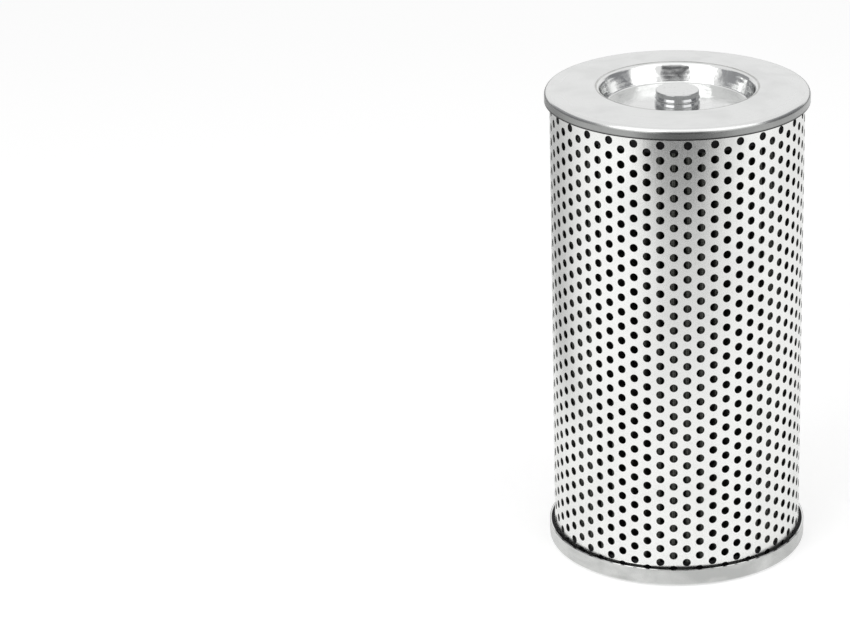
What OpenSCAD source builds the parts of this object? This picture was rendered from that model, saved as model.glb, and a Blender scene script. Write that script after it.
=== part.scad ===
// Hydraulic return-line filter element, standing on its open end.
// A pleated media pack sits inside a perforated steel tube, between two pressed
// steel end caps. The upper cap is closed and dished, with a button riveted in the
// dish, and the lower one has the bore.
// Millimetres, +Z up, origin at the centre of the face that it stands on.

/* [Element] */
// Height from the base to the edge of the dish
height = 256; // [180:0.1:400]

/* [Perforated tube] */
// Outer diameter of the tube, across its corners
tube_d = 133.4; // [120:0.1:160]
// Thickness of the perforated sheet
tube_wall = 0.8; // [0.5:0.1:1.2]
// Number of hole columns around the tube, each in its own narrow flat
columns = 60; // [56:2:66]
// Diameter of a hole
hole_d = 4.4; // [2:0.1:5]
// Distance from one hole to the next in a column
hole_pitch = 8; // [7:0.1:14]
// Height of the lowest hole above the base
first_hole = 9; // [7:0.1:20]
// Least distance from the top of the element to the highest hole of an even column
last_hole = 14; // [12:0.1:30]
// Angle of the first column from the front
first_column = -1.4; // [-3:0.1:3]
// Width of the lap seam at the back
seam_w = 8; // [5:0.1:9]
// Width of the bevel along one side of the seam
seam_bevel = 2.5; // [0.5:0.1:4]

/* [End caps] */
// Thickness of the cap sheet
cap_sheet = 1; // [0.7:0.1:1.4]
// Gap between the tube and the skirt of a cap
skirt_gap = 1.8; // [1.3:0.1:3]
// Inside radius of the bend between a cap's face and its skirt
rim_bend = 1.6; // [0.5:0.1:2.5]
// How much the closed cap's face rises from its rim to the dish
crown = 1.5; // [0:0.1:3]
// Depth of the closed cap's skirt
closed_skirt = 5.8; // [5:0.1:12]
// Depth of the open cap's skirt
open_skirt = 9.7; // [5:0.1:14]

/* [Dish in the closed cap] */
// Diameter of the dish where its wall meets the face
dish_d = 82; // [50:0.5:90]
// Depth of the dish floor below its edge
dish_depth = 10.2; // [6:0.1:14]
// How much the wall of the dish leans in from top to bottom
dish_lean = 3.4; // [0:0.1:6]
// Inside radius of the bend at the top of the dish
dish_shoulder = 1.6; // [0.3:0.1:2.5]
// Inside radius of the bend at the floor of the dish
dish_corner = 1; // [0.3:0.1:2]

/* [Button in the dish] */
// Diameter of the button's head and collar above their flares
button_d = 22.8; // [14:0.1:36]
// Height of the head
button_head = 4; // [2.5:0.1:8]
// Height of the collar, which stands on the dish floor
button_collar = 3.4; // [3:0.1:6]
// Width of the groove between the collar and the head
groove_w = 0.6; // [0.2:0.1:2]
// Depth of the groove
groove_depth = 0.6; // [0.2:0.1:2]
// How far the head and the collar flare out on the way down
flare = 0.5; // [0.1:0.1:1]
// Height over which they flare
flare_h = 1.2; // [0.5:0.1:1.5]
// Height of the head's lip below its flare
head_lip = 0.3; // [0.1:0.1:0.8]
// Height of the collar's foot below its flare
collar_foot = 1.6; // [0.5:0.1:1.7]
// Bevel round the top of the head
button_bevel = 0.4; // [0.1:0.1:1]
// Diameter of the shank that is riveted through the dish floor
shank_d = 10; // [4:0.1:13]
// Clearance between the shank and its hole
shank_gap = 0.1; // [0.05:0.05:0.3]
// Width of the rivet's flange beyond the shank
rivet_flange = 3; // [1:0.1:5]
// Thickness of the rivet's flange
rivet_t = 1.2; // [0.6:0.1:3]

/* [Bore in the open cap] */
// Diameter of the seat that is pressed into the face
seat_d = 75.6; // [68:0.1:90]
// Depth of the seat
seat_depth = 7.5; // [5:0.1:14]
// Inside radius of the bend at the mouth of the seat
seat_shoulder = 1; // [0.3:0.1:2]
// Inside radius of the bend at the bottom of the seat
seat_corner = 0.6; // [0.2:0.1:1.5]
// Diameter of the neck, which is the element's bore
neck_d = 62; // [40:0.1:64]
// Length of the neck beyond the seat
neck_len = 4.5; // [3:0.1:10]

/* [Pleated pack] */
// Number of pleats
pleats = 51; // [40:1:64]
// Thickness of the media with its mesh
media_t = 0.8; // [0.5:0.1:1]
// Radius of the media's middle line at an outer fold
outer_fold = 1.2; // [0.8:0.1:1.6]
// Radius of the media's middle line at an inner fold
inner_fold = 0.8; // [0.6:0.05:1]
// Clearance between the pack and the tube
pack_gap = 0.3; // [0.1:0.1:1]
// Clearance between the pack and the neck of the open cap
neck_gap = 1; // [0.5:0.1:3]

/* [Potting] */
// Thickness of adhesive between a cap and the end of the pack
bed = 1; // [0.5:0.1:3]
// Depth to which the pack's ends are set in the adhesive
embed = 3; // [2:0.1:6]
// Clearance between the adhesive and the tube
potting_gap = 0.1; // [0.05:0.05:0.3]
// How far the bead round the tube stays below the edge of a skirt
bead_depth = 1.2; // [0.6:0.1:1.6]

/* [Hidden] */

fold_steps = 4;
bend_steps = 6;

tube_r = tube_d / 2;
flat_cos = cos(180 / columns);
flat_r = tube_r * flat_cos;
tube_inner_r = tube_r - tube_wall / flat_cos;
tube_clear_r = tube_inner_r * flat_cos;
rows = floor((height - first_hole - last_hole) / hole_pitch) + 1;
cap_r = tube_r + skirt_gap + cap_sheet;
dish_r = dish_d / 2;
rim_top = height - crown;
dish_floor = height - dish_depth;
face_slope = crown / (cap_r - dish_r);
button_r = button_d / 2;
shank_r = shank_d / 2;
seat_r = seat_d / 2;
neck_r = neck_d / 2;
pack_outer_r = tube_clear_r - pack_gap;
pack_inner_r = neck_r + cap_sheet + neck_gap;
pack_bottom = seat_depth + cap_sheet + bed;
pack_top = dish_floor - cap_sheet - bed;

// Geometry of one pleat: the centres of its outer and inner folds, and how far
// the media wraps round each of them before it leaves along their common tangent.
pleat_half = 180 / pleats;
outer_fold_at = pack_outer_r - outer_fold - media_t / 2;
inner_fold_at = pack_inner_r + inner_fold + media_t / 2;
fold_step = inner_fold_at * [cos(pleat_half), sin(pleat_half)] - [outer_fold_at, 0];
wrap = atan2(fold_step.y, fold_step.x) - acos((outer_fold + inner_fold) / norm(fold_step));

function polar(r, a) = r * [cos(a), sin(a)];
function ring(r, n, turn) = [for (i = [0 : n - 1]) polar(r, turn + 360 * i / n)];

// Outline of the media at a distance `side` outside its middle line.
function pleat_line(side) = [
  for (k = [0 : pleats - 1]) let (a = 2 * pleat_half * k, b = a + pleat_half) each concat(
    [for (s = [0 : fold_steps])
      polar(outer_fold_at, a) + polar(outer_fold + side, a + wrap * (2 * s / fold_steps - 1))],
    [for (s = [0 : fold_steps]) let (turn = b + (wrap - pleat_half) * (1 - 2 * s / fold_steps))
      polar(inner_fold_at, b) - polar(inner_fold - side, turn)])
];

// A pressed sheet is drawn as the corners of its outer face, with the inside
// radius of each bend. The sheet's thickness lies to the left of that path.
function unit(v) = v / norm(v);
function left_of(v) = [-v.y, v.x];

function moved_corner(a, b, c, t) = let (n = left_of(unit(b - a)), m = left_of(unit(c - b)))
  b + t * (n + m) / (1 + n * m);

function inner_path(p, t) = let (last = len(p) - 1) [
  p[0] + t * left_of(unit(p[1] - p[0])),
  for (i = [1 : last - 1]) moved_corner(p[i - 1], p[i], p[i + 1], t),
  p[last] + t * left_of(unit(p[last] - p[last - 1]))
];

function bend(a, b, c, r) = let (
  u = unit(a - b),
  v = unit(c - b),
  half = acos(u * v) / 2,
  centre = b + unit(u + v) * r / sin(half),
  start = b + u * r / tan(half) - centre,
  end = b + v * r / tan(half) - centre,
  from = atan2(start.y, start.x),
  sweep = atan2(cross(start, end), start * end)
) [for (s = [0 : bend_steps]) centre + polar(r, from + sweep * s / bend_steps)];

function bent_path(p, radii) = let (last = len(p) - 1) concat(
  [p[0]],
  [for (i = [1 : last - 1]) each bend(p[i - 1], p[i], p[i + 1], radii[i - 1])],
  [p[last]]
);

function bend_count(p) = len(p) - 2;
function turns_left(p, i) = cross(p[i + 1] - p[i], p[i + 2] - p[i + 1]) > 0;

function sheet_face(p, bends, t) =
  bent_path(p, [for (i = [0 : bend_count(p) - 1]) bends[i] + (turns_left(p, i) ? t : 0)]);

function sheet_back(p, bends, t) =
  bent_path(inner_path(p, t), [for (i = [0 : bend_count(p) - 1]) bends[i] + (turns_left(p, i) ? 0 : t)]);

// Stretch of a bent path from one of its bends to another, both included.
function between_bends(path, first, last) =
  [for (i = [1 + first * (bend_steps + 1) : (last + 1) * (bend_steps + 1)]) path[i]];

module pressed_sheet(p, bends, t) {
  back = sheet_back(p, bends, t);
  rotate_extrude($fn = 180)
    polygon(concat(sheet_face(p, bends, t), [for (i = [len(back) - 1 : -1 : 0]) back[i]]));
}

closed_cap_line = [
  [cap_r, rim_top - closed_skirt],
  [cap_r, rim_top],
  [dish_r, height],
  [dish_r - dish_lean, dish_floor],
  [shank_r + shank_gap, dish_floor]
];
closed_cap_bends = [rim_bend, dish_shoulder, dish_corner];

open_cap_line = [
  [neck_r, seat_depth + neck_len],
  [neck_r, seat_depth],
  [seat_r, seat_depth],
  [seat_r, 0],
  [cap_r, 0],
  [cap_r, open_skirt]
];
open_cap_bends = [seat_corner, seat_corner, seat_shoulder, rim_bend];

// Rolled perforated sheet: staggered holes, and a bevelled lap seam at the back.
module outer_tube() {
  color("silver") rotate([0, 0, first_column - 90]) difference() {
    translate([0, 0, cap_sheet]) union() {
      linear_extrude(rim_top - 2 * cap_sheet) difference() {
        polygon(ring(tube_r, columns, 180 / columns));
        polygon(ring(tube_inner_r, columns, 180 / columns));
      }
      linear_extrude(rim_top - 2 * cap_sheet) polygon([
        [-flat_r + tube_wall / 2, -seam_w / 2],
        [-flat_r + tube_wall / 2, seam_w / 2],
        [-flat_r - tube_wall, seam_w / 2 - seam_bevel],
        [-flat_r - tube_wall, -seam_w / 2]
      ]);
    }
    for (i = [0 : columns - 1])
      if (i != columns / 2)
        for (j = [0 : rows - 1])
          rotate([0, 0, 360 * i / columns])
            translate([flat_r - 2 * tube_wall, 0, first_hole + hole_pitch * (j + (i % 2) / 2)])
              rotate([0, 90, 0]) cylinder(h = 3 * tube_wall, d = hole_d, $fn = 16);
  }
}

// The media folded into a closed star.
module media_pack() {
  color("dimgray") translate([0, 0, pack_bottom]) linear_extrude(pack_top - pack_bottom) difference() {
    polygon(pleat_line(media_t / 2));
    polygon(pleat_line(-media_t / 2));
  }
}

// Pressed cap with a skirt, a slightly crowned face and a dish with a hole for the button.
module closed_end_cap() {
  color("lightgray") pressed_sheet(closed_cap_line, closed_cap_bends, cap_sheet);
}

// Side of the button's head or collar: upright, then flared above its lower edge.
function flared_side(low, lip) = [
  [button_r + flare, low],
  [button_r + flare, low + lip],
  [button_r, low + lip + flare_h]
];

// Turned button: a head and a collar with a groove between, and a shank riveted under the dish floor.
module centre_button() {
  groove_r = button_r - groove_depth;
  groove_z = dish_floor + button_collar;
  head_z = groove_z + groove_w;
  top_z = head_z + button_head;
  rivet_z = dish_floor - cap_sheet;
  color("silver") rotate_extrude($fn = 120) polygon([
    [0, rivet_z - rivet_t],
    [shank_r + rivet_flange, rivet_z - rivet_t],
    [shank_r + rivet_flange, rivet_z],
    [shank_r, rivet_z],
    [shank_r, dish_floor],
    each flared_side(dish_floor, collar_foot),
    [button_r, groove_z],
    [groove_r, groove_z],
    [groove_r, head_z],
    each flared_side(head_z, head_lip),
    [button_r, top_z - button_bevel],
    [button_r - button_bevel, top_z],
    [0, top_z]
  ]);
}

// Pressed cap with a skirt, a sunk seat and the neck that is the bore.
module open_end_cap() {
  color("lightgray") pressed_sheet(open_cap_line, open_cap_bends, cap_sheet);
}

// Adhesive fills the space beside the dish and holds the upper end of the pack.
module closed_end_potting() {
  outer_r = tube_clear_r - potting_gap;
  inner_r = pack_inner_r - neck_gap;
  face_back = rim_top - cap_sheet * norm([1, face_slope]);
  color("black") difference() {
    rotate_extrude($fn = 180) polygon([
      [inner_r, pack_top - embed],
      [outer_r, pack_top - embed],
      [outer_r, face_back + face_slope * (cap_r - outer_r)],
      each between_bends(sheet_back(closed_cap_line, closed_cap_bends, cap_sheet), 1, 2),
      [inner_r, dish_floor - cap_sheet]
    ]);
    media_pack();
  }
}

// Adhesive fills the space round the seat and holds the lower end of the pack.
module open_end_potting() {
  outer_r = tube_clear_r - potting_gap;
  color("black") difference() {
    rotate_extrude($fn = 180) polygon([
      [neck_r + cap_sheet, pack_bottom + embed],
      each between_bends(sheet_back(open_cap_line, open_cap_bends, cap_sheet), 0, 2),
      [outer_r, cap_sheet],
      [outer_r, pack_bottom + embed]
    ]);
    media_pack();
  }
}

// Ring of adhesive in the gap between the tube and a skirt, cut back round the lap seam.
module bead(low, high) {
  seam_r = flat_r + tube_wall + potting_gap;
  color("black") difference() {
    translate([0, 0, low]) cylinder(h = high - low, r = cap_r - cap_sheet, $fn = 180);
    translate([0, 0, low - 1]) cylinder(h = high - low + 2, r = tube_r + potting_gap, $fn = 180);
    rotate([0, 0, first_column - 90]) translate([-seam_r, -seam_w / 2 - potting_gap, low - 1])
      cube([seam_r, seam_w + 2 * potting_gap, high - low + 2]);
  }
}

module closed_end_bead() {
  bead(rim_top - closed_skirt + bead_depth, rim_top - cap_sheet - rim_bend);
}

module open_end_bead() {
  bead(cap_sheet + rim_bend, open_skirt - bead_depth);
}

outer_tube();
media_pack();
closed_end_cap();
open_end_cap();
centre_button();
closed_end_potting();
open_end_potting();
closed_end_bead();
open_end_bead();
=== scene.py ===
"""Hydraulic filter element on a white studio table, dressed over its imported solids."""

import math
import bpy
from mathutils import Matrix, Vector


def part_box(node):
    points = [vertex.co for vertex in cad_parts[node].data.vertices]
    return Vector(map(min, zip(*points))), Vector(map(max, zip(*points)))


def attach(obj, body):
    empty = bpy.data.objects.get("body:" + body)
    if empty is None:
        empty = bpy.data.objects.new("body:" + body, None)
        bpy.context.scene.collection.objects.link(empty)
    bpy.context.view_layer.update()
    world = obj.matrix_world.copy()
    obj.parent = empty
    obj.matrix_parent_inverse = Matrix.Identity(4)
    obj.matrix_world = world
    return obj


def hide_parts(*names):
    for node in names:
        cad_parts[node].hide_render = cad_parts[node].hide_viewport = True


bl_info = {
    "name": "Hydraulic Filter Element",
    "version": (1, 0, 0),
    "blender": (4, 5, 0),
    "location": "View3D > Sidebar > Filter",
    "description": "Builds the surfaces and finishes of a perforated filter element",
    "category": "Object",
}

import bpy
import numpy as np
from bpy.props import FloatProperty, FloatVectorProperty, IntProperty, PointerProperty
from mathutils import Matrix, Vector

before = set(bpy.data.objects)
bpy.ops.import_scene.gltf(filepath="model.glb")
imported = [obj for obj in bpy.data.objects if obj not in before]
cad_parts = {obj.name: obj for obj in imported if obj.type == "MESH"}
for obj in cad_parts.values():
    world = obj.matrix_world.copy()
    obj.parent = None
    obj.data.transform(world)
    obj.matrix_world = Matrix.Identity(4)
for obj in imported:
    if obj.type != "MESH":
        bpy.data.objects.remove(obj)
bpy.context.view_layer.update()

MM = 0.001
TURN_STEPS = 192
BEND_STEPS = 8

closed_cap_low, closed_cap_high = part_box("closed_end_cap")
tube_low, tube_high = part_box("outer_tube")
pack_low, pack_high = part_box("media_pack")
button_low, button_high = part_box("centre_button")


def size(name, default, description):
    """A length in metres that the user can change."""
    return FloatProperty(name=name, description=description, default=default, unit="LENGTH", precision=5)


def colour(name, default, description):
    """A linear colour that the user can change."""
    return FloatVectorProperty(
        name=name, description=description, default=default, size=3, subtype="COLOR", min=0, max=1
    )


class TubeSettings(bpy.types.PropertyGroup):
    """Sizes and colours of the rolled perforated sheet."""

    radius: size("Radius", 66.66 * MM, "Outer radius of the rolled sheet")
    wall: size("Wall", 0.8 * MM, "Thickness of the sheet")
    columns: IntProperty(name="Columns", description="Hole columns round the tube", default=60, min=8)
    rows: IntProperty(name="Rows", description="Holes in a column", default=30, min=1)
    pitch: size("Pitch", 8 * MM, "Distance from one hole to the next in a column")
    first_hole: size("First hole", 9 * MM, "Height of the lowest hole")
    hole_radius: size("Hole radius", 2.2 * MM, "Radius of a punched hole")
    first_column: FloatProperty(
        name="First column", description="Turn of the first column from +X",
        default=math.radians(-91.4), subtype="ANGLE",
    )
    seam_width: size("Seam width", 8 * MM, "Width of the lap at the back")
    seam_bevel: size("Seam bevel", 2.5 * MM, "Width over which the lap thins out")
    seam_rise: size("Seam rise", 0.78 * MM, "Height of the lap above the sheet")
    steel: colour("Steel", (0.82, 0.825, 0.81), "Satin steel of the sheet")
    stained: colour("Stained steel", (0.74, 0.745, 0.73), "Where the sheet is a little duller")


class CapSettings(bpy.types.PropertyGroup):
    """Sizes and colours of the two pressed end caps."""

    top: size("Top", 256 * MM, "Height where the face would meet the dish wall without a bend")
    radius: size("Radius", closed_cap_high.x, "Outer radius of both caps")
    sheet: size("Sheet", 1 * MM, "Thickness of the pressed sheet")
    rim_bend: size("Rim bend", 1.6 * MM, "Inside radius of the bend from face to skirt")
    crown: size("Crown", 1.5 * MM, "Rise of the closed cap's face from rim to dish")
    closed_skirt: size("Closed skirt", 5.8 * MM, "Depth of the closed cap's skirt")
    open_skirt: size("Open skirt", 9.7 * MM, "Depth of the open cap's skirt")
    dish_radius: size("Dish radius", 41 * MM, "Radius of the dish at its edge")
    dish_depth: size("Dish depth", 10.2 * MM, "Depth of the dish floor")
    dish_lean: size("Dish lean", 3.4 * MM, "How much the dish wall leans in")
    dish_shoulder: size("Dish shoulder", 1.6 * MM, "Inside radius at the dish's edge")
    dish_corner: size("Dish corner", 1 * MM, "Inside radius at the dish's floor")
    hole_radius: size("Hole radius", 5.1 * MM, "Radius of the hole for the button's shank")
    seat_radius: size("Seat radius", 37.8 * MM, "Radius of the sunk seat in the open cap")
    seat_depth: size("Seat depth", 7.5 * MM, "Depth of the seat")
    seat_shoulder: size("Seat shoulder", 1 * MM, "Inside radius at the seat's mouth")
    seat_corner: size("Seat corner", 0.6 * MM, "Inside radius at the seat's floor")
    neck_radius: size("Neck radius", 31 * MM, "Radius of the bore")
    neck_top: size("Neck top", 12 * MM, "Height of the neck's end")
    steel: colour("Steel", (0.74, 0.745, 0.74), "Satin steel of the caps")
    smudged: colour("Smudged steel", (0.68, 0.685, 0.68), "Handling marks on the caps")
    # Painted shade: the crease round the dish is darkened where shade falls at its shoulder.
    crease_shade: colour("Shade", (0.38, 0.385, 0.37), "Darkening in the crease round the dish")
    # Painted highlight: the rim bends get a tone of their own, set for how bright their highlight looks.
    rim_highlight_tone: colour("Rim steel", (0.72, 0.725, 0.72), "Highlighted steel where the rims bend")
    # Painted shade: both skirts are darkened for the dark surroundings they reflect, the upper one much more than
    # the lower.
    closed_skirt_shade: colour("Closed skirt steel", (0.33, 0.335, 0.33), "Shaded steel on the upper skirt")
    open_skirt_shade: colour("Open skirt steel", (0.58, 0.585, 0.575), "Shaded steel on the lower skirt")
    worn_skirt: colour("Worn skirt", (0.26, 0.265, 0.26), "Where the skirts are dullest")
    # Painted shadow: a near-black band just above the upper skirt's foot stands for the dark line under the
    # skirt.
    skirt_foot_shadow: colour("Shadowed edge", (0.04, 0.04, 0.04), "Foot of the upper skirt, dark with adhesive")


class ButtonSettings(bpy.types.PropertyGroup):
    """Sizes and colour of the turned button in the dish."""

    radius: size("Radius", 11.4 * MM, "Radius of head and collar above their flares")
    head: size("Head", 4 * MM, "Height of the head")
    collar: size("Collar", 3.4 * MM, "Height of the collar")
    groove_width: size("Groove width", 0.6 * MM, "Width of the groove between them")
    groove_depth: size("Groove depth", 0.6 * MM, "Depth of the groove")
    flare: size("Flare", 0.5 * MM, "How far head and collar flare out")
    flare_height: size("Flare height", 1.2 * MM, "Height over which they flare")
    lip: size("Lip", 0.3 * MM, "Height of the head's lip below its flare")
    foot: size("Foot", 1.6 * MM, "Height of the collar's foot below its flare")
    bevel: size("Bevel", 0.4 * MM, "Rounding at the top of the head")
    shank_radius: size("Shank radius", 5 * MM, "Radius of the riveted shank")
    rivet_radius: size("Rivet radius", 8 * MM, "Radius of the rivet's flange")
    rivet: size("Rivet", 1.2 * MM, "Thickness of the rivet's flange")
    steel: colour("Steel", (0.72, 0.725, 0.72), "Turned steel on top")
    # Painted shade: the turned side is toned much darker than the top.
    side_shade: colour("Side steel", (0.45, 0.455, 0.46), "Darker steel on the turned side")


class PackSettings(bpy.types.PropertyGroup):
    """Sizes and colours of the pleated media and of the adhesive that holds it."""

    pleats: IntProperty(name="Pleats", description="Number of pleats", default=51, min=8)
    outer_radius: size("Outer radius", pack_high.x, "Radius over the outer folds")
    inner_radius: size("Inner radius", 33 * MM, "Radius at the inner folds")
    media: size("Media", 0.8 * MM, "Thickness of the media with its mesh")
    outer_fold: size("Outer fold", 1.2 * MM, "Middle radius of an outer fold")
    inner_fold: size("Inner fold", 0.8 * MM, "Middle radius of an inner fold")
    sway: size("Sway", 0.9 * MM, "How far a fold wanders at mid height")
    # Painted shade in part: fibre and wire are near black, partly the media's own dark colour and partly the
    # shade inside the tube.
    fibre: colour("Fibre", (0.014, 0.015, 0.012), "Oil-dark filter media")
    wire: colour("Wire", (0.055, 0.058, 0.05), "Wire cloth over the media")
    # Painted shade in part: this near-black also fills the beads in the gaps under the skirts, standing for those
    # dark gaps as much as for adhesive.
    adhesive: colour("Adhesive", (0.004, 0.004, 0.0045), "Cured adhesive in the caps")


class StageSettings(bpy.types.PropertyGroup):
    """The table, the light and the camera."""

    camera_distance: size("Camera distance", 1.7326, "From the camera to the point it looks at")
    camera_height: size("Aim height", 126.64 * MM, "Height of the point that the camera looks at")
    camera_pitch: FloatProperty(
        name="Pitch", description="How far the camera looks down",
        default=math.radians(21.56), subtype="ANGLE",
    )
    camera_roll: FloatProperty(
        name="Roll", description="Turn of the camera about its own axis", default=0.0016, subtype="ANGLE"
    )
    lens: FloatProperty(name="Lens", description="Focal length in millimetres", default=137.18)
    shift: FloatProperty(name="Shift", description="Sideways shift of the picture", default=-0.2965)
    world_light: FloatProperty(name="World light", description="Light from all round", default=0.6)
    table: colour("Table", (0.8, 0.8, 0.8), "Matt white table")
    card: colour("Card", (0.18, 0.18, 0.185), "Dark card before the part, seen in the metal")
    side_card: colour("Side card", (0.22, 0.225, 0.24), "Grey cards beside the part, seen in the metal")


def new_piece(name, points, groups, sheet_map=None):
    """A mesh object from whole arrays.

    Each group is (faces, normals): one row of corner numbers a face, and the
    normal of each corner, or None where the mesh works its own normals out.
    """
    counts = np.concatenate([np.full(len(faces), faces.shape[1]) for faces, _ in groups])
    used, corners = np.unique(
        np.concatenate([faces.ravel() for faces, _ in groups]), return_inverse=True
    )
    mesh = bpy.data.meshes.new(name)
    mesh.vertices.add(len(used))
    mesh.vertices.foreach_set("co", points[used].ravel())
    mesh.loops.add(len(corners))
    mesh.loops.foreach_set("vertex_index", corners.astype(np.int32).ravel())
    mesh.polygons.add(len(counts))
    mesh.polygons.foreach_set("loop_start", (np.cumsum(counts) - counts).astype(np.int32))
    mesh.update(calc_edges=True)
    mesh.shade_smooth()
    if sheet_map is not None:
        layer = mesh.uv_layers.new(name="sheet")
        layer.data.foreach_set("uv", sheet_map[used][corners.ravel()].ravel())
    if groups[0][1] is None:
        mesh.set_sharp_from_angle(angle=math.radians(40))
    else:
        mesh.normals_split_custom_set(np.concatenate([n.reshape(-1, 3) for _, n in groups]))
    piece = bpy.data.objects.new(name, mesh)
    bpy.context.scene.collection.objects.link(piece)
    return piece


def dress(piece, node, material):
    """The piece stands for its CAD node, rides on the body and takes its finish."""
    piece.data.materials.append(material)
    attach(piece, "root")
    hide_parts(node)


def polar(radius, turn):
    """The point (r cos t, r sin t), for arrays of radii and turns."""
    return np.stack([radius * np.cos(turn), radius * np.sin(turn)], -1)


def round_bends(corners, bends, steps=BEND_STEPS):
    """A line through corners with an arc in each inner one.

    An arc of radius r starts r tan(d / 2) before a corner where the line turns
    by d, and its tangent turns evenly from one leg to the other. Returns the
    points and, at each, the normal to the right of the line.
    """
    legs = np.diff(corners, axis=0)
    headings = np.arctan2(legs[:, 1], legs[:, 0])
    turns = (np.diff(headings) + math.pi) % math.tau - math.pi
    share = np.linspace(0, 1, steps + 1)
    at = headings[:-1, None] + turns[:, None] * share
    side = np.sign(turns)[:, None]
    radius = np.asarray(bends)[:, None]
    back = (np.abs(radius[:, 0] * np.tan(turns / 2)))[:, None]
    start = corners[1:-1] - back * polar(1, headings[:-1])
    centre = start + side * radius * polar(1, headings[:-1] + math.pi / 2)
    arcs = centre[:, None] - (side * radius)[..., None] * polar(1, at + math.pi / 2)
    points = np.concatenate([corners[:1], arcs.reshape(-1, 2), corners[-1:]])
    right = np.concatenate([headings[:1], at.ravel(), headings[-1:]]) - math.pi / 2
    return points, polar(1, right)


def mitred(corners, gap):
    """The line at a distance to the left of a line through corners, mitred at each."""
    legs = np.diff(corners, axis=0)
    left = np.stack([-legs[:, 1], legs[:, 0]], -1) / np.linalg.norm(legs, axis=1)[:, None]
    before, after = left[:-1], left[1:]
    inner = corners[1:-1] + gap * (before + after) / (1 + (before * after).sum(1))[:, None]
    return np.concatenate([corners[:1] + gap * left[:1], inner, corners[-1:] + gap * left[-1:]])


def pressed_section(corners, bends, sheet):
    """Section of a pressed sheet: its outer face, and its inner face a sheet to the left.

    Returns the closed ring of points, and the normals at the start and the end
    of each of its edges.
    """
    corners = np.asarray(corners, float)
    bends = np.asarray(bends, float)
    legs = np.diff(corners, axis=0)
    turns_left = legs[:-1, 0] * legs[1:, 1] - legs[:-1, 1] * legs[1:, 0] > 0
    face, face_normals = round_bends(corners, bends + sheet * turns_left)
    back, back_normals = round_bends(mitred(corners, sheet), bends + sheet * ~turns_left)
    back, back_normals = back[::-1], -back_normals[::-1]
    ring = np.concatenate([face, back])
    ends = np.stack([back[0] - face[-1], face[0] - back[-1]]) / sheet
    ends = np.stack([ends[:, 1], -ends[:, 0]], -1)
    starts = np.concatenate([face_normals[:-1], ends[:1], back_normals[:-1], ends[1:]])
    stops = np.concatenate([face_normals[1:], ends[:1], back_normals[1:], ends[1:]])
    return ring, starts, stops


def revolve(ring, starts, stops, steps=TURN_STEPS):
    """Surface of revolution of a section (r, z): each point goes to (r cos t, r sin t, z).

    Edge k of the section runs from point k to point k + 1, and the last one
    closes it unless the section ends on the axis, where it closes in a fan.
    """
    open_ends = ring[0, 0] == 0
    turns = np.arange(steps) * math.tau / steps
    points = np.concatenate(
        [polar(ring[:, :1], turns), np.broadcast_to(ring[:, None, 1:], (len(ring), steps, 1))], -1
    ).reshape(-1, 3)
    edges = np.arange(len(ring) - open_ends)
    here = edges[:, None] * steps + np.arange(steps)
    beside = edges[:, None] * steps + np.roll(np.arange(steps), -1)
    above, above_beside = [
        (row + steps) % (len(ring) * steps) for row in (here, beside)
    ]

    def spun(normals, turn):
        """Normals (r, z) of the section, turned with it."""
        flat = polar(normals[:, :1], turn)
        return np.concatenate([flat, np.broadcast_to(normals[:, None, 1:], flat.shape[:2] + (1,))], -1)

    ahead = turns + math.tau / steps
    corners = np.stack([here, beside, above_beside, above], -1)
    normals = np.stack(
        [spun(starts, turns), spun(starts, ahead), spun(stops, ahead), spun(stops, turns)], -2
    )
    if not open_ends:
        return points, [(corners.reshape(-1, 4), normals.reshape(-1, 4, 3))]
    first, last = corners[0][:, [0, 2, 3]], corners[-1][:, [0, 1, 2]]
    first[:, 0] = first[0, 0]
    last[:, 2] = last[0, 2]
    return points, [
        (corners[1:-1].reshape(-1, 4), normals[1:-1].reshape(-1, 4, 3)),
        (first, normals[0][:, [0, 2, 3]]),
        (last, normals[-1][:, [0, 1, 2]]),
    ]


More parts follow.
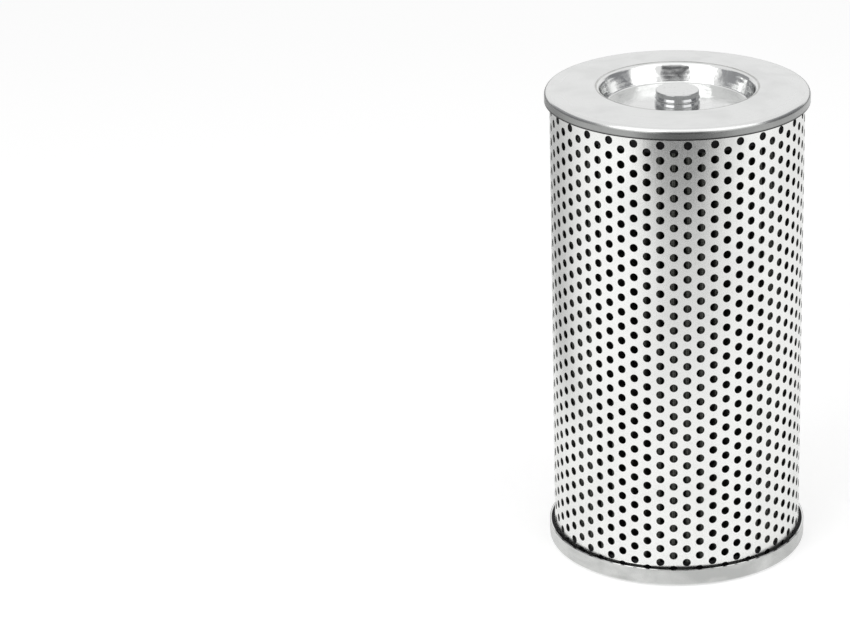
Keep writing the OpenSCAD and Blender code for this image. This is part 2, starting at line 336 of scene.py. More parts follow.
def perforated_sheet(tube, low, high):
    """The rolled sheet, from a lattice with two steps a column and two levels a hole.

    Lattice point (a, k) is (R cos t, R sin t, z) at t = t0 + a / 2 columns, on the
    outside, and at R less the wall inside. The rim of a hole is
    t = tc + (h / R) cos q, z = zc + h sin q, joined to the eight lattice points
    round it. Columns are staggered by half a pitch, and the one at the back,
    under the lap, has no holes.
    """
    column = math.tau / tube.columns
    around = np.arange(2 * tube.columns)
    half = tube.pitch / 2
    levels = np.concatenate(
        ([low], tube.first_hole - half + half * np.arange(2 * tube.rows + 2), [high])
    )
    count = len(levels)
    turn = tube.first_column + around[:, None] * column / 2
    radii = np.array([tube.radius, tube.radius - tube.wall])

    def skin(turns, heights):
        """The points at those turns and heights on both skins, outside first."""
        turns, heights = np.broadcast_arrays(turns, heights)
        flat = polar(radii.reshape((2,) + (1,) * turns.ndim), turns[None])
        return np.concatenate([flat, np.broadcast_to(heights[None, ..., None], flat.shape[:-1] + (1,))], -1)

    lattice = skin(turn, levels[None, :])
    at = np.arange(lattice[0].size // 3).reshape(len(around), count)
    per_skin = at.size

    holes = np.arange(tube.columns) != tube.columns // 2
    i, j = np.meshgrid(np.arange(tube.columns)[holes], np.arange(tube.rows), indexing="ij")
    i, j = i.ravel(), j.ravel()
    bottom = 1 + 2 * j + i % 2
    step_round = np.array([1, 1, 0, -1, -1, -1, 0, 1])
    step_up = np.array([0, 1, 1, 1, 0, -1, -1, -1])
    outline = at[(2 * i[:, None] + step_round) % len(around), bottom[:, None] + 1 + step_up]

    q = np.arange(16) * math.tau / 16
    centre_turn = tube.first_column + i[:, None] * column
    centre_height = levels[bottom + 1][:, None]
    rims = skin(
        centre_turn + tube.hole_radius / tube.radius * np.cos(q),
        centre_height + tube.hole_radius * np.sin(q),
    )
    rim = 2 * per_skin + np.arange(rims[0].size // 3).reshape(-1, 16)
    per_rim_skin = rim.size

    n = np.arange(8)
    far = (n + 1) % 8
    rim_here, rim_mid, rim_far = rim[:, 2 * n], rim[:, 2 * n + 1], rim[:, 2 * far]
    web = np.stack([
        np.stack([outline[:, n], outline[:, far], rim_mid], -1),
        np.stack([outline[:, far], rim_far, rim_mid], -1),
        np.stack([outline[:, n], rim_mid, rim_here], -1),
    ]).reshape(-1, 3)

    in_hole = np.zeros((tube.columns, count - 1), bool)
    rows_up = np.arange(2 * tube.rows)
    in_hole[0::2, 1 + rows_up] = True
    in_hole[1::2, 2 + rows_up] = True
    in_hole[~holes] = False
    plain = ~np.repeat(in_hole, 2, axis=0)
    a, k = np.nonzero(plain)
    a = (a - 1) % len(around)
    a_far = (a + 1) % len(around)
    patch = np.stack([at[a, k], at[a_far, k], at[a_far, k + 1], at[a, k + 1]], -1)

    def inside(faces):
        """The same faces on the inner skin, turned to look inwards."""
        return np.where(faces < 2 * per_skin, faces + per_skin, faces + per_rim_skin)[:, ::-1]

    m_far = (np.arange(16) + 1) % 16
    bore = np.stack(
        [rim, rim[:, m_far], rim[:, m_far] + per_rim_skin, rim + per_rim_skin], -1
    ).reshape(-1, 4)
    next_round = np.roll(around, -1)
    foot = np.stack([at[:, 0], at[:, 0] + per_skin, at[next_round, 0] + per_skin, at[next_round, 0]], -1)
    head = np.stack(
        [at[:, -1], at[next_round, -1], at[next_round, -1] + per_skin, at[:, -1] + per_skin], -1
    )

    points = np.concatenate([lattice.reshape(-1, 3), rims.reshape(-1, 3)])
    outward = points * [1, 1, 0]
    outward /= np.linalg.norm(outward, axis=1)[:, None]
    across = np.stack([-np.sin(centre_turn), np.cos(centre_turn), 0 * centre_turn], -1)
    to_axis = -np.cos(q)[:, None] * across - np.sin(q)[:, None] * np.array([0, 0, 1])
    to_axis_far = to_axis[:, m_far]
    bore_normals = np.stack([to_axis, to_axis_far, to_axis_far, to_axis], -2)
    up = np.broadcast_to([0.0, 0.0, 1.0], foot.shape + (3,))
    return points, [
        (web, outward[web]),
        (patch, outward[patch]),
        (inside(web), -outward[inside(web)]),
        (inside(patch), -outward[inside(patch)]),
        (bore, bore_normals.reshape(-1, 4, 3)),
        (foot, -up),
        (head, up),
    ]


def lap_strip(tube, low, high, steps=12):
    """The lap that closes the sheet: a strip u = 0 to 1 across, its outer face at
    R + rise min(1, u W / bevel), its inner face sunk half a wall into the sheet."""
    u = np.linspace(0, 1, steps + 1)
    u = np.sort(np.append(u, tube.seam_bevel / tube.seam_width))
    middle = tube.first_column + math.pi
    turn = middle + (u - 0.5) * tube.seam_width / tube.radius
    rise = np.minimum(1, u * tube.seam_width / tube.seam_bevel) * tube.seam_rise
    rise[0] = -0.05 * MM
    outer = polar(tube.radius + rise, turn)
    inner = polar(np.full(len(u), tube.radius - tube.wall / 2), turn)
    ring = np.concatenate([outer, inner[::-1]])
    count = len(ring)
    points = np.concatenate(
        [np.column_stack([ring, np.full(count, z)]) for z in (low, high)]
    )
    k = np.arange(count)
    side = np.stack([k, np.roll(k, -1), np.roll(k, -1) + count, k + count], -1)
    across = np.arange(len(u) - 1)
    floor = np.stack([across, count - 1 - across, count - 2 - across, across + 1], -1)
    return points, [(side, None), (floor, None), (floor[:, ::-1] + count, None)]


def pleat_star(pack, low, high, fold_steps=6, levels=13):
    """The media folded into a closed star, swaying a little between its ends.

    The middle line is an arc of radius f about each outer fold's centre, over
    the turns a - w to a + w, and an arc of radius g about each inner fold's
    centre. w makes the straight flank between them tangent to both. A point at
    height share h moves round the axis by sway sin(pi h) sin(2 pi (c h + p)),
    with c and p of its own for each pleat.
    """
    half = math.pi / pack.pleats
    f, g, t = pack.outer_fold, pack.inner_fold, pack.media / 2
    outer_at = pack.outer_radius - f - t
    inner_at = pack.inner_radius + g + t
    step = polar(inner_at, np.array(half)) - [outer_at, 0]
    wrap = math.atan2(step[1], step[0]) - math.acos((f + g) / np.linalg.norm(step))
    a = 2 * half * np.arange(pack.pleats)[:, None]
    b = a + half
    s = np.linspace(-1, 1, fold_steps + 1)

    def line(side):
        """The media's line at a distance outside its middle line."""
        outer = polar(outer_at, a) + polar(f + side, a + wrap * s)
        inner = polar(inner_at, b) - polar(g - side, b - (wrap - half) * s)
        return np.concatenate([outer, inner], 1).reshape(-1, 2)

    lines = np.stack([line(t), line(-t)])
    count = lines.shape[1]
    per_pleat = 2 * (fold_steps + 1)
    h = np.linspace(0, 1, levels)[:, None]
    random = np.random.default_rng(31)
    cycles, phase = random.uniform(0.4, 1.6, pack.pleats), random.uniform(0, 1, pack.pleats)
    own = np.sin(math.tau * (cycles * h + phase)) * np.sin(math.pi * h)
    turn = np.repeat(pack.sway / outer_at * own, per_pleat, axis=1)
    x, y = lines[:, None, :, 0], lines[:, None, :, 1]
    swayed = np.stack([
        x * np.cos(turn) - y * np.sin(turn),
        x * np.sin(turn) + y * np.cos(turn),
        np.broadcast_to(low + h * (high - low), (2,) + turn.shape),
    ], -1)
    points = swayed.reshape(-1, 3)
    length = np.linalg.norm(np.diff(line(0), axis=0, append=line(0)[:1]), axis=1)
    along = np.concatenate(([0], np.cumsum(length)[:-1]))
    cloth = np.stack(np.broadcast_arrays(along[None, None], low + h[None] * (high - low)), -1)
    cloth = np.broadcast_to(cloth, (2, levels, count, 2)).reshape(-1, 2)

    at = np.arange(2 * levels * count).reshape(2, levels, count)
    near, far = at, np.roll(at, -1, axis=2)
    skin = np.stack([near[:, :-1], far[:, :-1], far[:, 1:], near[:, 1:]], -1)
    outside = skin[0].reshape(-1, 4)
    inside = skin[1][..., ::-1].reshape(-1, 4)
    foot = np.stack([near[0, 0], near[1, 0], far[1, 0], far[0, 0]], -1)
    head = np.stack([near[0, -1], far[0, -1], far[1, -1], near[1, -1]], -1)
    return points, [(faces, None) for faces in (outside, inside, foot, head)], cloth


class Finish:
    """A material and its node tree, with short calls for the nodes that it takes."""

    def __init__(self, name, metallic, roughness, colour):
        self.material = bpy.data.materials.new(name)
        self.material.use_nodes = True
        self.nodes = self.material.node_tree.nodes
        self.links = self.material.node_tree.links
        self.shader = self.nodes["Principled BSDF"]
        self.shader.inputs["Metallic"].default_value = metallic
        self.shader.inputs["Roughness"].default_value = roughness
        self.shader.inputs["Base Color"].default_value = (*colour, 1)
        self.place = self.nodes.new("ShaderNodeTexCoord").outputs["Object"]

    def add(self, kind, inputs, **settings):
        """A node of that kind, with its inputs set to values or linked to sockets."""
        node = self.nodes.new("ShaderNode" + kind)
        for key, value in settings.items():
            setattr(node, key, value)
        for key, value in inputs.items():
            if isinstance(value, bpy.types.NodeSocket):
                self.links.new(value, node.inputs[key])
            else:
                node.inputs[key].default_value = value
        return node

    def scaled(self, scale, place=None):
        """The place stretched by a factor along each axis."""
        node = self.add("Mapping", {"Vector": place or self.place})
        node.inputs["Scale"].default_value = scale
        return node.outputs["Vector"]

    def noise(self, place, scale, detail=3.0, distortion=0.0):
        """Noise from 0 to 1, with features of about 1 / scale metres."""
        inputs = {"Vector": place, "Scale": scale, "Detail": detail, "Distortion": distortion}
        return self.add("TexNoise", inputs).outputs["Fac"]

    def axis_distance(self):
        """Distance from the part's axis."""
        flat = self.scaled((1, 1, 0))
        return self.add("VectorMath", {0: flat}, operation="LENGTH").outputs["Value"]

    def rings(self, scale, detail=4.0):
        """Noise that changes only with the distance from the axis, as turning marks do."""
        inputs = {"W": self.axis_distance(), "Scale": scale, "Detail": detail}
        return self.add("TexNoise", inputs, noise_dimensions="1D").outputs["Fac"]

    def ranged(self, value, low, high, to_low=0.0, to_high=1.0, smooth=False):
        """value from low to high, brought to to_low to to_high and held there."""
        inputs = {"Value": value, 1: low, 2: high, 3: to_low, 4: to_high}
        kind = "SMOOTHSTEP" if smooth else "LINEAR"
        return self.add("MapRange", inputs, interpolation_type=kind).outputs["Result"]

    def mixed(self, factor, first, second):
        """One number or socket blended into another by a factor."""
        node = self.add("Mix", {0: factor, 2: first, 3: second}, data_type="FLOAT")
        return node.outputs[0]

    def toned(self, factor, first, second):
        """One colour blended into another by a factor."""
        node = self.add("Mix", {0: factor}, data_type="RGBA")
        for socket, tone in ((node.inputs[6], first), (node.inputs[7], second)):
            if isinstance(tone, bpy.types.NodeSocket):
                self.links.new(tone, socket)
            else:
                socket.default_value = (*tone, 1)
        return node.outputs[2]

    def combined(self, kind, first, second):
        """Two numbers or sockets added, multiplied and so on."""
        return self.add("Math", {0: first, 1: second}, operation=kind).outputs["Value"]

    def bump(self, height, depth, strength=1.0, normal=None):
        """Relief of that depth in metres."""
        inputs = {"Height": height, "Distance": depth, "Strength": strength}
        if normal is not None:
            inputs["Normal"] = normal
        return self.add("Bump", inputs).outputs["Normal"]

    def drive(self, **sockets):
        """Links results to the shader's inputs, named with _ for a space."""
        for key, value in sockets.items():
            self.links.new(value, self.shader.inputs[key.replace("_", " ")])
        return self.material


def perforated_steel(tube):
    """Satin sheet with a fine grain along the roll, dull patches and rubbed spots."""
    finish = Finish("perforated_steel", 1.0, 0.34, tube.steel)
    finish.shader.inputs["Anisotropic"].default_value = 0.8
    around = finish.add("Tangent", {}, direction_type="RADIAL", axis="Z").outputs["Tangent"]
    grain = finish.noise(finish.scaled((1, 1, 0.12)), 1400, 2.0)
    patches = finish.noise(finish.place, 28, 4.0, 0.6)
    speckle = finish.noise(finish.place, 900, 1.0)
    dull = finish.ranged(patches, 0.42, 0.72)
    tint = finish.combined("MULTIPLY", finish.combined("ADD", dull, finish.ranged(speckle, 0.45, 0.75)), 0.5)
    base = finish.toned(tint, tube.steel, tube.stained)
    rough = finish.mixed(dull, finish.ranged(grain, 0.3, 0.7, 0.2, 0.26), 0.3)
    relief = finish.bump(grain, 0.01 * MM, 0.35)
    relief = finish.bump(finish.noise(finish.place, 60, 2.0), 0.12 * MM, 0.25, relief)
    return finish.drive(Base_Color=base, Roughness=rough, Normal=relief, Tangent=around)


def cap_steel(caps):
    """Drawn sheet: polished in the dish and the seat, satin with faint rings on the face. Painted shade darkens
    the crease round the dish, the skirts and the upper skirt's foot, and the rim bends carry a painted highlight
    tone.
    """
    finish = Finish("cap_steel", 1.0, 0.25, caps.steel)
    radius = finish.axis_distance()
    height = finish.add("SeparateXYZ", {"Vector": finish.place}).outputs["Z"]
    on_face = finish.ranged(radius, caps.dish_radius + 1.5 * MM, caps.dish_radius + 2.1 * MM, smooth=True)
    on_rim = finish.ranged(radius, caps.radius - 2.7 * MM, caps.radius - 2.3 * MM, smooth=True)
    on_skirt = finish.ranged(radius, caps.radius - 0.5 * MM, caps.radius - 0.05 * MM, smooth=True)
    smudges = finish.ranged(finish.noise(finish.place, 60, 6.0, 0.3), 0.45, 0.75)
    rings = finish.rings(900)
    base = finish.toned(smudges, caps.steel, caps.smudged)
    # Painted shade on the skirts: the upper skirt is toned much darker than the lower, with random worn patches
    # on both.
    upper = finish.ranged(height, caps.top / 2 - 1 * MM, caps.top / 2 + 1 * MM)
    skirt = finish.toned(upper, caps.open_skirt_shade, caps.closed_skirt_shade)
    worn = finish.ranged(finish.noise(finish.scaled((1, 1, 2)), 40, 5.0, 0.4), 0.4, 0.62, 0.0, 0.45)
    skirt = finish.toned(worn, skirt, caps.worn_skirt)
    # Painted shade in the crease round the dish, made patchy by noise.
    from_crease = finish.combined("ABSOLUTE", finish.combined("SUBTRACT", radius, caps.dish_radius + 1.5 * MM), 0)
    crease = finish.ranged(from_crease, 0.2 * MM, 0.9 * MM, 1.0, 0.0, smooth=True)
    uneven = finish.ranged(finish.noise(finish.place, 90, 3.0), 0.3, 0.6, 0.35, 1.0)
    base = finish.toned(finish.combined("MULTIPLY", crease, uneven), base, caps.crease_shade)
    # Painted highlight tone on the rim bends.
    base = finish.toned(on_rim, base, caps.rim_highlight_tone)
    base = finish.toned(on_skirt, base, skirt)
    # Painted shadow: a near-black band on the outer face just above the upper skirt's foot.
    skirt_foot = caps.top - caps.crown - caps.closed_skirt
    at_foot = finish.ranged(height, skirt_foot + 0.4 * MM, skirt_foot + 1 * MM, 1.0, 0.0)
    outside = finish.ranged(radius, caps.radius - 2 * MM, caps.radius - 1.5 * MM)
    foot_shadow = finish.combined("MULTIPLY", outside, finish.combined("MULTIPLY", at_foot, upper))
    base = finish.toned(foot_shadow, base, caps.skirt_foot_shadow)
    satin = finish.mixed(smudges, finish.ranged(rings, 0.3, 0.7, 0.27, 0.33), 0.37)
    handled = finish.ranged(finish.noise(finish.place, 160, 4.0, 0.5), 0.42, 0.62)
    polish = finish.mixed(handled, 0.08, 0.24)
    rough = finish.mixed(on_face, polish, satin)
    rough = finish.mixed(on_rim, rough, 0.2)
    rough = finish.mixed(on_skirt, rough, 0.26)
    on_wall = finish.ranged(radius, caps.dish_radius - caps.dish_lean - 1 * MM, caps.dish_radius - caps.dish_lean)
    on_wall = finish.combined("MULTIPLY", on_wall, finish.mixed(on_face, 1.0, 0.0))
    drawn = finish.combined("MULTIPLY", finish.rings(1800, 2.0), on_wall)
    relief = finish.bump(rings, 0.008 * MM, 0.4)
    relief = finish.bump(drawn, 0.06 * MM, 1.0, relief)
    relief = finish.bump(finish.noise(finish.place, 70, 2.0), 0.1 * MM, 0.2, relief)
    dents = finish.combined("MULTIPLY", finish.noise(finish.place, 150, 2.0), on_wall)
    relief = finish.bump(dents, 0.5 * MM, 0.5, relief)
    return finish.drive(Base_Color=base, Roughness=rough, Normal=relief)


def turned_steel(button):
    """Bright turned steel with tool marks round the axis and small handling nicks, and painted shade on its
    turned side.
    """
    finish = Finish("turned_steel", 1.0, 0.2, button.steel)
    rings = finish.rings(2600, 2.0)
    nicks = finish.ranged(finish.noise(finish.place, 500, 3.0), 0.6, 0.75)
    on_side = finish.ranged(finish.axis_distance(), button.radius - 0.7 * MM, button.radius - 0.2 * MM)
    base = finish.toned(nicks, button.steel, [0.8 * c for c in button.steel])
    # Painted shade on the turned side.
    base = finish.toned(on_side, base, button.side_shade)
    rough = finish.mixed(nicks, finish.ranged(rings, 0.3, 0.7, 0.2, 0.28), 0.32)
    rough = finish.mixed(on_side, rough, 0.12)
    relief = finish.bump(rings, 0.012 * MM, 0.5)
    return finish.drive(Base_Color=base, Roughness=rough, Normal=relief)


def wire_backed_media(pack):
    """Dark fibre under a square wire cloth, drawn on the sheet's own map in metres."""
    # The near-black fibre and wire are partly the media's own colour and partly painted shade for the inside of
    # the tube.
    finish = Finish("wire_backed_media", 0.0, 0.7, pack.fibre)
    sheet = finish.add("UVMap", {}, uv_map="sheet").outputs["UV"]
    apart = finish.add("SeparateXYZ", {"Vector": sheet})
    wires = []
    for axis in "XY":
        wave = finish.combined("SINE", finish.combined("MULTIPLY", apart.outputs[axis], math.tau / (0.9 * MM)), 0)
        wires.append(finish.ranged(wave, 0.25, 0.9, smooth=True))
    cloth = finish.combined("MAXIMUM", wires[0], wires[1])
    stain = finish.noise(finish.place, 80, 4.0)
    fibre = finish.toned(finish.ranged(stain, 0.35, 0.7), pack.fibre, [0.55 * c for c in pack.fibre])
    base = finish.toned(cloth, fibre, pack.wire)
    rough = finish.mixed(cloth, 0.85, 0.45)
    relief = finish.bump(cloth, 0.15 * MM, 0.8)
    return finish.drive(Base_Color=base, Roughness=rough, Normal=relief)


def cured_adhesive(pack):
    """Dark cast adhesive: a slightly uneven, half-gloss skin with paler dust in places."""
    finish = Finish("cured_adhesive", 0.0, 0.4, pack.adhesive)
    finish.shader.inputs["Specular IOR Level"].default_value = 0.12
    dust = finish.ranged(finish.noise(finish.place, 120, 5.0), 0.5, 0.8)
    base = finish.toned(dust, pack.adhesive, [3 * c for c in pack.adhesive])
    rough = finish.mixed(dust, 0.45, 0.7)
    relief = finish.bump(finish.noise(finish.place, 220, 3.0), 0.2 * MM, 0.4)
    return finish.drive(Base_Color=base, Roughness=rough, Normal=relief)


class FILTER_OT_perforated_tube(bpy.types.Operator):
    """Rolls the perforated sheet and laps it at the back"""

    bl_idname = "filter_element.perforated_tube"
    bl_label = "Perforated Tube"

    def execute(self, context):
        tube = context.scene.filter_tube
        steel = perforated_steel(tube)
        sheet = new_piece("perforated_tube", *perforated_sheet(tube, tube_low.z, tube_high.z))
        dress(sheet, "outer_tube", steel)
        lap = new_piece("tube_lap", *lap_strip(tube, tube_low.z, tube_high.z))
        dress(lap, "outer_tube", steel)
        return {"FINISHED"}


class FILTER_OT_end_caps(bpy.types.Operator):
    """Presses the closed cap with its dish and the open cap with its seat and neck"""

    bl_idname = "filter_element.end_caps"
    bl_label = "End Caps"

    def execute(self, context):
        caps = context.scene.filter_caps
        steel = cap_steel(caps)
        top = caps.top
        rim = top - caps.crown
        floor = top - caps.dish_depth
        closed = pressed_section(
            [
                (caps.radius, rim - caps.closed_skirt),
                (caps.radius, rim),
                (caps.dish_radius, top),
                (caps.dish_radius - caps.dish_lean, floor),
                (caps.hole_radius, floor),
            ],
            [caps.rim_bend, caps.dish_shoulder, caps.dish_corner],
            caps.sheet,
        )
        opened = pressed_section(
            [
                (caps.neck_radius, caps.neck_top),
                (caps.neck_radius, caps.seat_depth),
                (caps.seat_radius, caps.seat_depth),
                (caps.seat_radius, 0),
                (caps.radius, 0),
                (caps.radius, caps.open_skirt),
            ],
            [caps.seat_corner, caps.seat_corner, caps.seat_shoulder, caps.rim_bend],
            caps.sheet,
        )
        dress(new_piece("closed_cap", *revolve(*closed)), "closed_end_cap", steel)
        dress(new_piece("open_cap", *revolve(*opened)), "open_end_cap", steel)
        return {"FINISHED"}


class FILTER_OT_centre_button(bpy.types.Operator):
    """Turns the button that is riveted into the dish"""

    bl_idname = "filter_element.centre_button"
    bl_label = "Centre Button"

    def execute(self, context):
        button = context.scene.filter_button
        caps = context.scene.filter_caps
        floor = caps.top - caps.dish_depth
        under = floor - caps.sheet
        groove = floor + button.collar
        head = groove + button.groove_width
        inner = button.radius - button.groove_depth
        outer = button.radius + button.flare

        def flared(low, upright):
            """Side of the head or the collar: upright, then leaning in up its flare."""
            return [
                (outer, low),
                (outer, low + upright),
                (button.radius, low + upright + button.flare_height),
            ]

        corners = np.array([
            (0, under - button.rivet),
            (button.rivet_radius, under - button.rivet),
            (button.rivet_radius, under),
            (button.shank_radius, under),
            (button.shank_radius, floor),
            *flared(floor, button.foot),
            (button.radius, groove),
            (inner, groove),
            (inner, head),
            *flared(head, button.lip),
            (button.radius, button_high.z),
            (0, button_high.z),
        ])
        sharp, soft = 0.05 * MM, 0.2 * MM
        bends = [sharp] * 5 + [soft, soft, soft, sharp, sharp, sharp, 0.1 * MM, soft, button.bevel]
        line, normals = round_bends(corners, bends, 4)
        parts = revolve(line, normals[:-1], normals[1:])
        dress(new_piece("turned_button", *parts), "centre_button", turned_steel(button))
        return {"FINISHED"}


class FILTER_OT_media_pack(bpy.types.Operator):
    """Folds the media into its star and finishes the adhesive at its ends"""

    bl_idname = "filter_element.media_pack"
    bl_label = "Media Pack"

    def execute(self, context):
        pack = context.scene.filter_pack
        points, groups, cloth = pleat_star(pack, pack_low.z, pack_high.z)
        star = new_piece("pleated_media", points, groups, cloth)
        dress(star, "media_pack", wire_backed_media(pack))
        adhesive = cured_adhesive(pack)
        # The beads in the gaps under the skirts take the near-black adhesive too: partly adhesive, partly painted
        # shade for the dark gaps.
        for name in ("closed_end_potting", "open_end_potting", "closed_end_bead", "open_end_bead"):
            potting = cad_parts[name]
            potting.data.materials.clear()
            potting.data.materials.append(adhesive)
        return {"FINISHED"}


def stage_card(name, corner, across, up, material):
    """A flat card: the points corner + u across + v up, for u and v from 0 to 1."""
    u, v = np.meshgrid([0.0, 1.0], [0.0, 1.0])
    points = np.array(corner) + u.reshape(-1, 1) * np.array(across) + v.reshape(-1, 1) * np.array(up)
    card = new_piece(name, points.astype(float), [(np.array([[0, 1, 3, 2]]), None)])
    card.data.materials.append(material)
    return card


def soft_light(name, place, aim, width, height, power):
    """A rectangular lamp that faces a point."""
    lamp = bpy.data.lights.new(name, "AREA")
    lamp.shape = "RECTANGLE"
    lamp.size, lamp.size_y = width, height
    lamp.energy = power
    holder = bpy.data.objects.new(name, lamp)
    holder.location = place
    holder.rotation_euler = (Vector(aim) - Vector(place)).to_track_quat("-Z", "Y").to_euler()
    holder.visible_camera = False
    bpy.context.scene.collection.objects.link(holder)


class FILTER_OT_stage(bpy.types.Operator):
    """Lays the white table, hangs the light and places the camera"""

    bl_idname = "filter_element.stage"
    bl_label = "Stage"

    def table(self, stage):
        """White table that keeps the part's shadow."""
        finish = Finish("table_white", 0.0, 0.9, stage.table)
        tone = finish.ranged(finish.noise(finish.place, 3, 2.0), 0.3, 0.7)
        base = finish.toned(tone, stage.table, [0.99 * c for c in stage.table])
        finish.shader.inputs["Specular IOR Level"].default_value = 0.0
        finish.shader.inputs["Emission Color"].default_value = (1, 1, 1, 1)
        finish.shader.inputs["Emission Strength"].default_value = 0.42
        finish.drive(Base_Color=base)
        stage_card("table", (-3, -3, -0.05 * MM), (6, 0, 0), (0, 6, 0), finish.material)

    def faded(self, name, colour, density, fades):
        """Matt dark card, clear where it fades: each fade is (axis, low, high, share at low, share at high)."""
        finish = Finish(name, 0.0, 0.9, colour)
        finish.shader.inputs["Specular IOR Level"].default_value = 0.0
        apart = finish.add("SeparateXYZ", {"Vector": finish.place})
        solid = density
        for axis, low, high, at_low, at_high in fades:
            share = finish.ranged(apart.outputs[axis], low, high, at_low, at_high, smooth=True)
            solid = finish.combined("MULTIPLY", share, solid)
        clear = finish.nodes.new("ShaderNodeBsdfTransparent")
        mix = finish.nodes.new("ShaderNodeMixShader")
        finish.links.new(solid, mix.inputs["Fac"])
        finish.links.new(clear.outputs["BSDF"], mix.inputs[1])
        finish.links.new(finish.shader.outputs["BSDF"], mix.inputs[2])
        finish.links.new(mix.outputs["Shader"], finish.nodes["Material Output"].inputs["Surface"])
        return finish.material

    def cards(self, stage):
        """Dark cards before, beside and above the table, seen only in the metal."""
        low = [("X", -0.52, -0.28, 0, 1), ("X", 0.55, 0.8, 1, 0), ("Z", 0.08, 0.16, 1, 0)]
        high = [("X", -0.24, -0.16, 0, 1), ("X", 0.27, 0.37, 1, 0), ("Z", 0.45, 0.75, 1, 0)]
        shade = [("X", -0.35, -0.05, 0, 1), ("X", 0.25, 0.6, 1, 0), ("Y", -0.6, -0.14, 1, 0)]
        near = [("Y", -0.06, 0.12, 0, 1), ("Z", 0.18, 0.25, 1, 0)]
        right = [("Y", -0.3, -0.2, 0, 1), ("Y", 0.9, 1.2, 1, 0), ("Z", 0.9, 1.2, 1, 0)]
        left = [("Y", -0.42, -0.3, 0, 1), ("Y", 0.9, 1.2, 1, 0), ("Z", 0.9, 1.2, 1, 0)]
        back = [("X", -1.8, -1.2, 0, 1), ("X", 1.2, 1.8, 1, 0), ("Z", 0.25, 0.4, 1, 0)]
        dark, grey = stage.card, stage.side_card
        cards = [
            ("front_low_card", (-0.6, -0.66, 0), (1.46, 0, 0), (0, 0, 0.16), dark, 1.0, low),
            ("front_high_card", (-0.25, -0.67, 0.1), (0.63, 0, 0), (0, 0, 0.65), dark, 1.0, high),
            ("front_shade", (-0.6, -0.66, 0.002), (1.46, 0, 0), (0, 0.56, 0), dark, 0.4, shade),
            ("near_card", (-0.24, -0.06, 0), (0, 0.66, 0), (0, 0, 0.25), dark, 0.5, near),
            ("right_card", (1.1, -0.3, 0.12), (0, 1.5, 0), (0, 0, 1.08), grey, 0.9, right),
            ("left_card", (-1.1, -0.42, 0.12), (0, 1.62, 0), (0, 0, 1.08), grey, 0.8, left),
            ("back_card", (-1.8, 1.6, 0), (3.6, 0, 0), (0, 0, 0.4), dark, 0.8, back),
        ]
        for name, corner, across, up, tone, density, fades in cards:
            card = stage_card(name, corner, across, up, self.faded(name, tone, density, fades))
            card.visible_camera = False
            card.visible_diffuse = False
            card.visible_shadow = False

    def lights(self, stage):
        """A white world for the picture and the metal, softer on matt surfaces, and two soft boxes."""
        world = bpy.data.worlds.new("white_room")
        bpy.context.scene.world = world
        world.use_nodes = True
        tree = world.node_tree
        shown = tree.nodes["Background"]
        shown.inputs["Color"].default_value = (1, 1, 1, 1)
        shown.inputs["Strength"].default_value = 1.0
        lit = tree.nodes.new("ShaderNodeBackground")
        lit.inputs["Color"].default_value = (1, 1, 1, 1)
        lit.inputs["Strength"].default_value = stage.world_light
        path = tree.nodes.new("ShaderNodeLightPath")
        seen = path.outputs["Is Camera Ray"]
        for ray in ("Is Glossy Ray", "Is Transmission Ray"):
            either = tree.nodes.new("ShaderNodeMath")
            either.operation = "MAXIMUM"
            tree.links.new(seen, either.inputs[0])
            tree.links.new(path.outputs[ray], either.inputs[1])
            seen = either.outputs["Value"]
        mix = tree.nodes.new("ShaderNodeMixShader")
        tree.links.new(seen, mix.inputs["Fac"])
        tree.links.new(lit.outputs["Background"], mix.inputs[1])
        tree.links.new(shown.outputs["Background"], mix.inputs[2])
        tree.links.new(mix.outputs["Shader"], tree.nodes["World Output"].inputs["Surface"])
        middle = (0, 0, 0.13)
        soft_light("left_box", (-0.795, -0.965, 0.85), middle, 1.0, 1.5, 6.2)
        soft_light("right_box", (1.036, -0.7, 0.85), middle, 1.0, 1.5, 3.6)
        soft_light("top_box", (0, -0.35, 1.6), middle, 1.6, 1.0, 1.9)

    def camera(self, stage):
        """The photograph's viewpoint: in front of the part, looking along +Y and down."""
        aim = Vector((0, 0, stage.camera_height))
        pitch = stage.camera_pitch
        back = Vector((0, -math.cos(pitch), math.sin(pitch)))
        data = bpy.data.cameras.new("camera")
        data.lens = stage.lens
        data.sensor_width = 36
        data.shift_x = stage.shift
        data.clip_start, data.clip_end = 0.05, 50
        holder = bpy.data.objects.new("camera", data)
        holder.location = aim + stage.camera_distance * back
        tilt = Matrix.Rotation(math.pi / 2 - pitch, 3, "X") @ Matrix.Rotation(stage.camera_roll, 3, "Z")
        holder.rotation_euler = tilt.to_euler()
        bpy.context.scene.collection.objects.link(holder)
        bpy.context.scene.camera = holder

    def execute(self, context):
        stage = context.scene.filter_stage
        self.table(stage)
        self.cards(stage)
        self.lights(stage)
        self.camera(stage)
        context.scene.view_settings.view_transform = "Standard"
        return {"FINISHED"}


class FILTER_PT_element(bpy.types.Panel):
    """The steps that make the filter element, with their sizes and colours"""

    bl_idname = "FILTER_PT_element"
    bl_label = "Filter Element"
    bl_space_type = "VIEW_3D"
    bl_region_type = "UI"
    bl_category = "Filter"

    def draw(self, context):
        for operator, group in STEPS:
            box = self.layout.box()
            box.operator(operator.bl_idname)
            settings = getattr(context.scene, group)
            for name in settings.bl_rna.properties.keys():
                if name not in ("rna_type", "name"):
                    box.prop(settings, name)


GROUPS = {
    "filter_tube": TubeSettings,
    "filter_caps": CapSettings,
    "filter_button": ButtonSettings,
    "filter_pack": PackSettings,
    "filter_stage": StageSettings,
}
STEPS = [
    (FILTER_OT_stage, "filter_stage"),
    (FILTER_OT_perforated_tube, "filter_tube"),
    (FILTER_OT_end_caps, "filter_caps"),
    (FILTER_OT_centre_button, "filter_button"),
    (FILTER_OT_media_pack, "filter_pack"),
]


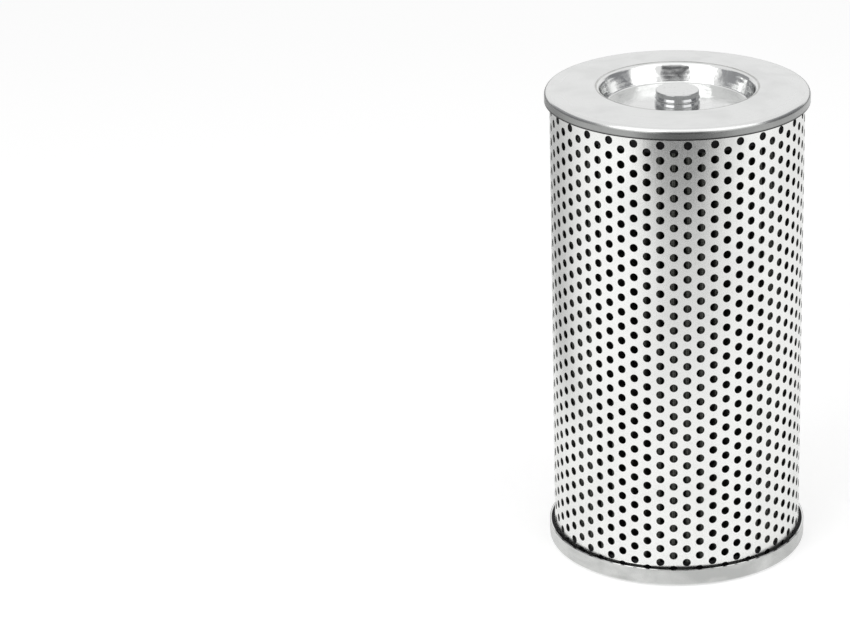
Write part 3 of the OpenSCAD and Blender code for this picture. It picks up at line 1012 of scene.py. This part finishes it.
def register():
    for name, group in GROUPS.items():
        bpy.utils.register_class(group)
        setattr(bpy.types.Scene, name, PointerProperty(type=group))
    for operator, _ in STEPS:
        bpy.utils.register_class(operator)
    bpy.utils.register_class(FILTER_PT_element)


def unregister():
    bpy.utils.unregister_class(FILTER_PT_element)
    for operator, _ in reversed(STEPS):
        bpy.utils.unregister_class(operator)
    for name, group in reversed(GROUPS.items()):
        delattr(bpy.types.Scene, name)
        bpy.utils.unregister_class(group)


def main():
    register()
    for operator, _ in STEPS:
        module, name = operator.bl_idname.split(".")
        getattr(getattr(bpy.ops, module), name)()


if __name__ == "__main__":
    main()
